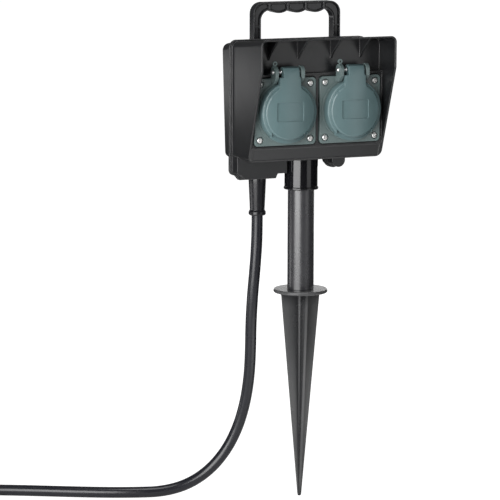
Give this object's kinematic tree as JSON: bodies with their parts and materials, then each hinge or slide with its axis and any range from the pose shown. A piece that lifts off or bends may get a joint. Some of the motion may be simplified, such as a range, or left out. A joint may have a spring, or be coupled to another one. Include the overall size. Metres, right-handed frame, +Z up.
{
  "type": "garden socket spike",
  "caption": "Hooded garden socket box with hinged splash lids and a carry handle, on a pole with a round stop plate and a finned ground spike, with its rubber supply cable and plug.",
  "frame": {"origin": "on the pole's axis, at the underside of the round stop plate, which rests on the soil", "axes": "+Z up along the pole, -Y towards the side with the lids, +X to the right seen from that side"},
  "size_m": [0.4284, 0.1819, 0.3762],
  "materials": {
    "housing_plastic": "moulded, satin with a very fine grain",
    "handle_plastic": "moulded, satin",
    "collar_plastic": "moulded, glossy",
    "pole_paint": "powder coat, satin",
    "spike_plastic": "moulded, satin",
    "flange_plastic": "moulded, satin grey with a green tint",
    "lid_plastic": "moulded, satin grey with a blue-green tint",
    "insert_plastic": "moulded, satin",
    "shutter_plastic": "moulded, satin",
    "zinc_steel": "bright zinc plated",
    "spring_steel": "drawn wire",
    "contact_brass": "bright",
    "contact_nickel": "nickel plated",
    "seal_rubber": "smooth",
    "cable_rubber": "smooth, slightly waxy",
    "relief_rubber": "smooth, slightly glossy",
    "terminal_plastic": "moulded, translucent white",
    "live_sheath": "extruded",
    "neutral_sheath": "extruded",
    "earth_sheath": "extruded, two colours",
    "plug_rubber": "moulded, satin"
  },
  "bodies": {
    "root": {"front_housing": "housing_plastic", "rear_housing": "housing_plastic", "housing_seal": "seal_rubber", "housing_screws_long": "zinc_steel", "housing_screws_short": "zinc_steel", "carry_handle": "handle_plastic", "pole_collar": "collar_plastic", "pole_screw": "zinc_steel", "pole_tube": "pole_paint", "ground_spike": "spike_plastic", "socket_flange_left": "flange_plastic", "flange_seal_left": "seal_rubber", "flange_screws_left": "zinc_steel", "socket_insert_left": "insert_plastic", "contact_carrier_left": "insert_plastic", "carrier_screws_left": "zinc_steel", "contact_sleeves_left": "contact_brass", "earth_clips_left": "contact_nickel", "hinge_pin_left": "zinc_steel", "lid_spring_left": "spring_steel", "socket_flange_right": "flange_plastic", "flange_seal_right": "seal_rubber", "flange_screws_right": "zinc_steel", "socket_insert_right": "insert_plastic", "contact_carrier_right": "insert_plastic", "carrier_screws_right": "zinc_steel", "contact_sleeves_right": "contact_brass", "earth_clips_right": "contact_nickel", "hinge_pin_right": "zinc_steel", "lid_spring_right": "spring_steel", "strain_relief": "relief_rubber", "inner_cable": "cable_rubber", "cable_clamp": "terminal_plastic", "cable_clamp_screws": "zinc_steel", "terminal_block": "terminal_plastic", "terminal_sleeves": "contact_brass", "terminal_screws": "zinc_steel", "live_wires": "live_sheath", "neutral_wires": "neutral_sheath", "earth_wires": "earth_sheath", "supply_cable": "cable_rubber", "cable_coil": "cable_rubber", "plug_guard": "plug_rubber", "plug_body": "plug_rubber", "plug_pins": "contact_nickel", "plug_earth_clips": "contact_nickel"},
    "lid_left": {"lid_left": "lid_plastic", "lid_seal_left": "seal_rubber"},
    "shutter_left": {"shutter_left": "shutter_plastic"},
    "lid_right": {"lid_right": "lid_plastic", "lid_seal_right": "seal_rubber"},
    "shutter_right": {"shutter_right": "shutter_plastic"}
  },
  "joints": [
    {"name": "lid_left_hinge", "type": "hinge", "parent": "root", "child": "lid_left", "pos_m": [-0.0266, -0.0318, 0.1702], "axis": [-1, 0, 0], "range_deg": [0, 115], "stiffness_Nm_per_rad": 0.004, "springref_deg": -34.38},
    {"name": "shutter_left_turn", "type": "hinge", "parent": "root", "child": "shutter_left", "pos_m": [-0.0266, -0.0079, 0.1404], "axis": [0, 1, 0], "range_deg": [0, 35], "stiffness_Nm_per_rad": 0.001, "springref_deg": -17.19},
    {"name": "lid_right_hinge", "type": "hinge", "parent": "root", "child": "lid_right", "pos_m": [0.0266, -0.0318, 0.1702], "axis": [-1, 0, 0], "range_deg": [0, 115], "stiffness_Nm_per_rad": 0.004, "springref_deg": -34.38},
    {"name": "shutter_right_turn", "type": "hinge", "parent": "root", "child": "shutter_right", "pos_m": [0.0266, -0.0079, 0.1404], "axis": [0, 1, 0], "range_deg": [0, 35], "stiffness_Nm_per_rad": 0.001, "springref_deg": -17.19}
  ]
}
